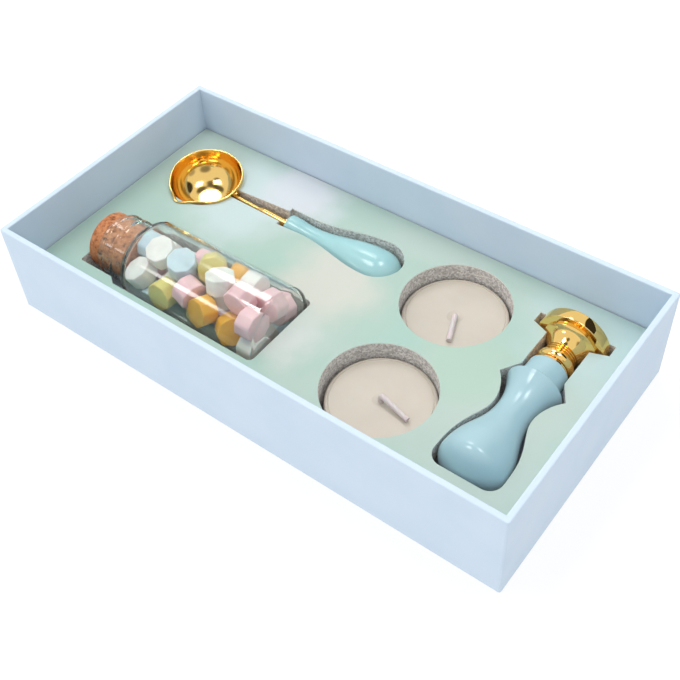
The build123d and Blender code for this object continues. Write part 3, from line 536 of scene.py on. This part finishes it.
# Paraffin, poured and left to cool: cream, faintly cloudy and satin, and light sinks in
# by about a millimetre, which softens its edges
candle = new_finish("poured_paraffin")
where = add(candle, "TexCoord").outputs["Object"]
cloud = add(candle, "TexNoise", {"Vector": where, "Scale": 0.08 * PER_MM, "Detail": 4.0})
tone = add(candle, "ValToRGB", {"Fac": cloud.outputs["Fac"]})
tone.color_ramp.elements[0].position = 0.3
tone.color_ramp.elements[0].color = linear("#c2baad")
tone.color_ramp.elements[1].position = 0.7
tone.color_ramp.elements[1].color = linear("#c9c1b4")
body = add(
    candle,
    "BsdfPrincipled",
    {
        "Base Color": tone.outputs["Color"],
        "Roughness": 0.45,
        "Subsurface Weight": 0.12,
        "Subsurface Scale": 1 * MM,
    },
)
add(candle, "OutputMaterial", {"Surface": body.outputs[0]})
coat(candle, "candle_1_wax", "candle_2_wax")

# Braided cotton soaked in wax: off-white with a faint lilac cast, and a soft plait about a
# millimetre wide that shows as small ridges
cotton = new_finish("waxed_cotton")
where = add(cotton, "TexCoord").outputs["Object"]
plait = add(
    cotton,
    "TexWave",
    {"Vector": where, "Scale": 0.3 * PER_MM, "Distortion": 2.0},
    bands_direction="DIAGONAL",
)
tone = add(cotton, "ValToRGB", {"Fac": plait.outputs["Fac"]})
tone.color_ramp.elements[0].color = linear("#cdc4c3")
tone.color_ramp.elements[1].color = linear("#d3cbca")
ridges = add(cotton, "Bump", {"Height": plait.outputs["Fac"], "Strength": 0.3, "Distance": 0.1 * MM})
body = add(
    cotton,
    "BsdfPrincipled",
    {
        "Base Color": tone.outputs["Color"],
        "Roughness": 0.6,
        "Subsurface Weight": 0.3,
        "Subsurface Scale": 1 * MM,
        "Normal": ridges.outputs[0],
    },
)
add(cotton, "OutputMaterial", {"Surface": body.outputs[0]})
coat(cotton, "candle_1_wick", "candle_2_wick")

# Tinplate: cold-rolled steel under a thin bright coat of tin, with fine rolling lines
tin = new_finish("tinplate")
where = add(tin, "TexCoord").outputs["Object"]
drawn = add(tin, "Mapping", {"Vector": where, "Scale": (0.1, 1.0, 1.0)})
lines = add(tin, "TexNoise", {"Vector": drawn.outputs[0], "Scale": 3.0 * PER_MM, "Detail": 3.0})
tone = add(tin, "ValToRGB", {"Fac": lines.outputs["Fac"]})
tone.color_ramp.elements[0].color = linear("#bdbdbb")
tone.color_ramp.elements[1].color = linear("#d3d3d0")
dull = add(tin, "MapRange", {"Value": lines.outputs["Fac"], "To Min": 0.25, "To Max": 0.42})
body = add(
    tin,
    "BsdfPrincipled",
    {"Base Color": tone.outputs["Color"], "Metallic": 1.0, "Roughness": dull.outputs[0]},
)
add(tin, "OutputMaterial", {"Surface": body.outputs[0]})
coat(tin, "candle_1_sustainer", "candle_2_sustainer")

# ---------------------------------------------------------------------------------------
# Melting spoon. A pressed brass bowl with a rolled rim and a pouring lip, riveted to a
# flattened rod, both gold plated and polished, with a turned and painted wooden grip.

# In millimetres and degrees. Angles round the bowl start at the side where the stem joins
# it, and SPOON_TURN turns the spoon about x, then y, then z.
BOWL_MIDDLE = (-78.43, 24.6)
BOWL_RISE = 3.0
SPOON_TURN = (6.3, 5.0, 1.4)
BOWL_R = 14.4
BOWL_DEPTH = 12.8
BOWL_FLAT_R = 3.1
BOWL_STRAIGHT = 2.5
BOWL_WALL = 0.55
RIM_ROLL_R = 0.36
LIP_REACH = 2.3
LIP_AT = -97.0
LIP_SPREAD = 13.5
LIP_DEPTH = 6.5
LIP_DROOP = 0.7
SHOULDER_REACH = 0.7
SHOULDER_AT = -122
SHOULDER_SPREAD = 15
HOLLOW_DEPTH = 1.0
HOLLOW_AT = -61
HOLLOW_SPREAD = 13
ROLL_FROM = 190
ROLL_TO = -100
BOWL_STEPS = 192
SIDE_STEPS = 40
ROLL_STEPS = 16
FLAT_RINGS = 6
WALL_RINGS = 6


def pressed_bowl():
    """One sheet, worked out as rows from the middle of the inside, up over the rim and down
    the outside. Its section is a flat, then a quarter of an ellipse, then a straight side.
    The lip is added to the radius: a rounded peak exp(-(angle / spread) ** 2), a broad
    shoulder on its one side and a slight hollow on its other, all fading with the square of
    the depth. The rolled rim is an arc from the inner side over and under to the outer."""
    sweep = np.radians(np.linspace(0, 90, SIDE_STEPS))
    flat = np.linspace(FIRST_RING, 1, FLAT_RINGS)[:-1] * BOWL_FLAT_R

    def side(offset):
        curve = np.stack(
            [
                BOWL_FLAT_R + (BOWL_R - offset - BOWL_FLAT_R) * np.sin(sweep),
                -BOWL_STRAIGHT - (BOWL_DEPTH - offset - BOWL_STRAIGHT) * np.cos(sweep),
            ],
            axis=-1,
        )
        disc = np.stack([flat, np.full_like(flat, offset - BOWL_DEPTH)], axis=-1)
        climb = np.linspace(-BOWL_STRAIGHT, -2 * RIM_ROLL_R, WALL_RINGS + 1)[1:]
        wall = np.stack([np.full_like(climb, BOWL_R - offset), climb], axis=-1)
        return np.vstack([disc, curve, wall])

    roll_middle = (BOWL_R - BOWL_WALL + RIM_ROLL_R, -RIM_ROLL_R)
    roll = arc(roll_middle, RIM_ROLL_R, ROLL_FROM, ROLL_TO, ROLL_STEPS)
    section = np.vstack([side(BOWL_WALL), roll, side(0)[::-1]])
    reach, height = section[:, :1], section[:, 1:]
    turn = np.linspace(-np.pi, np.pi, BOWL_STEPS, endpoint=False)
    angle = np.degrees(turn)
    peak = LIP_REACH * np.exp(-(((angle - LIP_AT) / LIP_SPREAD) ** 2))
    shoulder = SHOULDER_REACH * np.exp(-(((angle - SHOULDER_AT) / SHOULDER_SPREAD) ** 2))
    hollow = -HOLLOW_DEPTH * np.exp(-(((angle - HOLLOW_AT) / HOLLOW_SPREAD) ** 2))
    fade = np.clip(1 + height / LIP_DEPTH, 0, 1) ** 2
    reach = reach + (peak + shoulder + hollow) * fade * (reach / BOWL_R)
    height = height - LIP_DROOP * (peak / LIP_REACH) * fade
    grid = np.stack([reach * np.cos(turn), reach * np.sin(turn), height], axis=-1)
    about_x, about_y, about_z = (
        Matrix.Rotation(math.radians(degrees), 3, axis) for degrees, axis in zip(SPOON_TURN, "XYZ")
    )
    turned = np.array(about_z @ about_y @ about_x)
    middle = np.array([*BOWL_MIDDLE, CARD_TOP * PER_MM + BOWL_RISE])
    points, four, three = close_ends(grid, (0, 0, BOWL_WALL - BOWL_DEPTH), (0, 0, -BOWL_DEPTH))
    return (points @ turned.T + middle) * MM, four, three


def gold_plate(name, sharpest, dullest):
    """Gold plate over polished metal: a warm yellow mirror. Its polish varies a little over
    a few millimetres, from the sharpest roughness to the dullest, which softens reflections."""
    plate = new_finish(name)
    where = add(plate, "TexCoord").outputs["Object"]
    polish = add(plate, "TexNoise", {"Vector": where, "Scale": 0.4 * PER_MM, "Detail": 4.0})
    dull = add(plate, "MapRange", {"Value": polish.outputs["Fac"], "To Min": sharpest, "To Max": dullest})
    body = add(
        plate,
        "BsdfPrincipled",
        {"Base Color": linear("#f3cc7c"), "Metallic": 1.0, "Roughness": dull.outputs[0]},
    )
    add(plate, "OutputMaterial", {"Surface": body.outputs[0]})
    return plate


# The pressed bowl is tumbled, so it is a little satin; the turned pieces are mirror bright
satin_gold = gold_plate("satin_gold_plate", 0.08, 0.16)
gold = gold_plate("mirror_gold_plate", 0.02, 0.07)
coat(gold, "spoon_stem", "spoon_rivets")
bowl = make_piece("pressed_bowl", *pressed_bowl(), satin_gold, crease=60.0)
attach(bowl, "spoon")
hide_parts("spoon_bowl")


def gloss_paint(name, dark_code, light_code, roughness):
    """Sprayed gloss paint on turned beech: an even colour that drifts a little, and a faint
    orange-peel about a millimetre across that softens its highlights."""
    paint = new_finish(name)
    where = add(paint, "TexCoord").outputs["Object"]
    drift = add(paint, "TexNoise", {"Vector": where, "Scale": 0.06 * PER_MM, "Detail": 2.0})
    tone = add(paint, "ValToRGB", {"Fac": drift.outputs["Fac"]})
    tone.color_ramp.elements[0].position = 0.3
    tone.color_ramp.elements[0].color = linear(dark_code)
    tone.color_ramp.elements[1].position = 0.7
    tone.color_ramp.elements[1].color = linear(light_code)
    peel = add(paint, "TexNoise", {"Vector": where, "Scale": 0.8 * PER_MM, "Detail": 2.0})
    skin = add(paint, "Bump", {"Height": peel.outputs["Fac"], "Strength": 0.08, "Distance": 0.1 * MM})
    body = add(
        paint,
        "BsdfPrincipled",
        {"Base Color": tone.outputs["Color"], "Roughness": roughness, "Normal": skin.outputs[0]},
    )
    add(paint, "OutputMaterial", {"Surface": body.outputs[0]})
    return paint


coat(gloss_paint("aqua_gloss_paint", "#98c5c8", "#a0cccf", 0.2), "spoon_handle")

# ---------------------------------------------------------------------------------------
# Stamp. A turned brass head with a stud that screws into a turned and painted beech handle.
# A brass ferrule guards the end of the handle, and a sleeve let into the wood takes the stud.

# In millimetres. The head's axis lies along y, and it and the face come from the CAD head.
SEAL_R = 12.75
head_low, head_high = (np.array(corner) * PER_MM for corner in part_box("stamp_head"))
STAMP_AXIS = ((head_low[0] + head_high[0]) / 2, head_high[2] - SEAL_R)
SEAL_FACE_Y = head_high[1]
SEAL_BACK_Y = 32.0
SEAL_EDGE = 0.25
STEP_R = 10.2
STEP_Y = 31.2
STEP_EDGE = 0.1
STEP_ROOT = 0.02
FLARE = ((30.75, 8.9), (30.1, 7.9), (29.3, 7.2), (28.4, 6.6), (27.4, 6.05), (26.8, 5.8))
THREAD_START_Y = 26.8
THREAD_END_Y = 23.8
THREAD_TURNS = 3
THREAD_R = (5.0, 5.9)
COLLAR_Y = (23.8, 19.9)
COLLAR_R = 7.0
COLLAR_NECK_R = 5.3
COLLAR_FULLNESS = 0.8
SEAT_Y = 19.7
SEAT_R = 5.1
STUD_R = 3.0
STUD_LENGTH = 9.0


def turned_seal():
    """The head's section, as (place along the axis, radius), spun about the axis. From the
    sealing face back: a disc, a step, a flare through listed points, threads as cosine
    waves round their middle radius, a collar that swells by the sine of a half turn to the
    power of its fullness, and the stud."""
    rows = [[(SEAL_FACE_Y, FLAT_END_RING * SEAL_R), (SEAL_FACE_Y, SEAL_R / 2)]]
    rim_r = SEAL_R - SEAL_EDGE
    rows.append(arc((SEAL_FACE_Y - SEAL_EDGE, rim_r), SEAL_EDGE, 0, 90, EDGE_STEPS))
    rows.append(arc((SEAL_BACK_Y + SEAL_EDGE, rim_r), SEAL_EDGE, 90, 180, EDGE_STEPS))
    rows.append([(SEAL_BACK_Y, STEP_R + STEP_ROOT), (SEAL_BACK_Y - STEP_ROOT, STEP_R)])
    rows.append([(STEP_Y + STEP_EDGE, STEP_R), (STEP_Y, STEP_R - STEP_EDGE)])
    rows.append(FLARE)
    way = np.linspace(0, 1, CURVE_STEPS * THREAD_TURNS)[1:]
    low, high = THREAD_R
    thread = (high + low) / 2 + (high - low) / 2 * np.cos(2 * np.pi * THREAD_TURNS * way)
    back_along = THREAD_START_Y + (THREAD_END_Y - THREAD_START_Y) * way
    rows.append(np.stack([back_along, thread], axis=-1))
    bulge = np.linspace(0, np.pi, CURVE_STEPS)[1:]
    rows.append([(COLLAR_Y[0], COLLAR_NECK_R)])
    middle, half = sum(COLLAR_Y) / 2, (COLLAR_Y[0] - COLLAR_Y[1]) / 2
    swell = COLLAR_NECK_R + (COLLAR_R - COLLAR_NECK_R) * np.sin(bulge) ** COLLAR_FULLNESS
    rows.append(np.stack([middle + half * np.cos(bulge), swell], axis=-1))
    stud_end = SEAT_Y - STUD_LENGTH
    rows.append([(SEAT_Y, SEAT_R), (SEAT_Y, STUD_R)])
    rows.append([(stud_end, STUD_R), (stud_end, FIRST_RING * STUD_R)])
    section = np.vstack(rows)
    turn = np.linspace(0, 2 * np.pi, ROUND_STEPS, endpoint=False)
    along = np.repeat(section[:, :1], ROUND_STEPS, axis=1)
    across = STAMP_AXIS[0] + section[:, 1:] * np.cos(turn)
    up = STAMP_AXIS[1] + section[:, 1:] * np.sin(turn)
    ends = [(STAMP_AXIS[0], y, STAMP_AXIS[1]) for y in (SEAL_FACE_Y, stud_end)]
    points, four, three = close_ends(np.stack([across, along, up], axis=-1), *ends)
    return points * MM, four, three


seal = make_piece("turned_seal_head", *turned_seal(), gold)
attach(seal, "stamp_head")
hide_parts("stamp_head")
coat(gold, "stamp_ferrule", "stamp_nut")
coat(gloss_paint("sky_gloss_paint", "#9cbdc6", "#a3c3cb", 0.2), "stamp_handle")

# ---------------------------------------------------------------------------------------
# Studio: a plain pale floor, soft light from two panels above and a bright room, and the
# camera at the photograph's angle.

FLOOR_HALF = 3.0
FLOOR_GLOW = 0.715
corners = [(x * FLOOR_HALF, y * FLOOR_HALF, 0.0) for x, y in ((-1, -1), (1, -1), (1, 1), (-1, 1))]
floor_mesh = bpy.data.meshes.new("studio_floor")
floor_mesh.from_pydata(corners, [], [(0, 1, 2, 3)])
studio_floor = bpy.data.objects.new("studio_floor", floor_mesh)
bpy.context.scene.collection.objects.link(studio_floor)

# Matt white background paper, lit through from below so that it stays an even pale white
white = new_finish("background_paper")
where = add(white, "TexCoord").outputs["Object"]
grain = add(white, "TexNoise", {"Vector": where, "Scale": 0.4 * PER_MM, "Detail": 2.0})
tone = add(white, "ValToRGB", {"Fac": grain.outputs["Fac"]})
tone.color_ramp.elements[0].color = linear("#8f8f8f")
tone.color_ramp.elements[1].color = linear("#939393")
body = add(
    white,
    "BsdfPrincipled",
    {
        "Base Color": tone.outputs["Color"],
        "Roughness": 0.9,
        "Emission Color": linear("#ffffff"),
        "Emission Strength": FLOOR_GLOW,
    },
)
add(white, "OutputMaterial", {"Surface": body.outputs[0]})
floor_mesh.materials.append(white)

# The room: an even bright dome with a few places that are dimmer or brighter, which the
# polished gold picks up as bands. Each place is (azimuth from +x, elevation, half width) in
# degrees, how bright it is beside the dome, and how soft its edge is as a share of its width.
ROOM_LIGHT = 0.95
PLACES = (
    (138, 55, 8, 8.0, 0.3),
    (-128, 25, 5, 7.0, 0.4),
    (57, 37, 19, 0.04, 0.04),
    (-42, 24, 15, 0.3, 0.4),
    (172, 63, 9, 0.12, 0.3),
    (182, 78, 9, 0.12, 0.3),
    (105, 71, 9, 0.12, 0.3),
    (250, 82, 8, 0.15, 0.4),
    (255, 64, 7, 0.2, 0.4),
    (5, 16, 12, 0.5, 0.4),
)
room = bpy.data.worlds.new("studio_room")
room.use_nodes = True
facing = add(room, "TexCoord").outputs["Generated"]
shade = None
for azimuth, elevation, half_width, left, softness in PLACES:
    around, above, wide = (math.radians(v) for v in (azimuth, elevation, half_width))
    towards = (math.cos(above) * math.cos(around), math.cos(above) * math.sin(around), math.sin(above))
    near = add(room, "VectorMath", {0: facing, 1: towards}, operation="DOT_PRODUCT")
    patch = add(
        room,
        "MapRange",
        {
            "Value": near.outputs["Value"],
            "From Min": math.cos(wide * (1 + softness)),
            "From Max": math.cos(wide * (1 - softness)),
            "To Min": 1.0,
            "To Max": left,
        },
        interpolation_type="SMOOTHSTEP",
    )
    if shade is None:
        shade = patch.outputs[0]
    else:
        shade = add(room, "Math", {0: shade, 1: patch.outputs[0]}, operation="MULTIPLY").outputs[0]
bright = add(room, "Math", {0: shade, 1: ROOM_LIGHT}, operation="MULTIPLY")
room.node_tree.links.new(bright.outputs[0], room.node_tree.nodes["Background"].inputs["Strength"])
room.node_tree.nodes["Background"].inputs["Color"].default_value = linear("#ffffff")
bpy.context.scene.world = room


def hang_panel(name, place, target, size, power):
    """A square light panel at place that faces target."""
    lamp = bpy.data.lights.new(name, "AREA")
    lamp.size = size
    lamp.energy = power
    panel = bpy.data.objects.new(name, lamp)
    panel.location = place
    panel.rotation_euler = (target - place).to_track_quat("-Z", "Y").to_euler()
    bpy.context.scene.collection.objects.link(panel)


# Two softboxes overhead, side by side as the camera sees them, with a gap between
PANEL_SIZE = 0.24
PANEL_POWER = 1.9
PANELS_MIDDLE = Vector((-0.06, -0.02, 0.9))
PANEL_ASIDE = Vector((0.24, 0.2, 0.0))
for side in (-1, 1):
    place = PANELS_MIDDLE + side * PANEL_ASIDE
    hang_panel(f"softbox_{side}", place, Vector((0, 0, 0)), PANEL_SIZE, PANEL_POWER)

# The camera stands as in the photograph, found from the corners of the box
FOCUS_PX = 1047.29
FRAME_PX = 680
SENSOR = 36.0
AZIMUTH = math.radians(40.1871)
ELEVATION = math.radians(47.8897)
ROLL = math.radians(-4.0025)
EYE = Vector((0.1697, -0.1947, 0.2826))

back = Vector(
    (
        math.sin(AZIMUTH) * math.cos(ELEVATION),
        -math.cos(AZIMUTH) * math.cos(ELEVATION),
        math.sin(ELEVATION),
    )
)
level = (-back).cross(Vector((0, 0, 1))).normalized()
upward = level.cross(-back)
right = level * math.cos(ROLL) + upward * math.sin(ROLL)
over = upward * math.cos(ROLL) - level * math.sin(ROLL)
lens = bpy.data.cameras.new("photo_camera")
lens.sensor_width = SENSOR
lens.lens = FOCUS_PX * SENSOR / FRAME_PX
lens.clip_start = 0.01
camera = bpy.data.objects.new("photo_camera", lens)
camera.matrix_world = Matrix.Translation(EYE) @ Matrix((right, over, back)).transposed().to_4x4()
bpy.context.scene.collection.objects.link(camera)
bpy.context.scene.camera = camera
bpy.context.scene.view_settings.view_transform = "Standard"
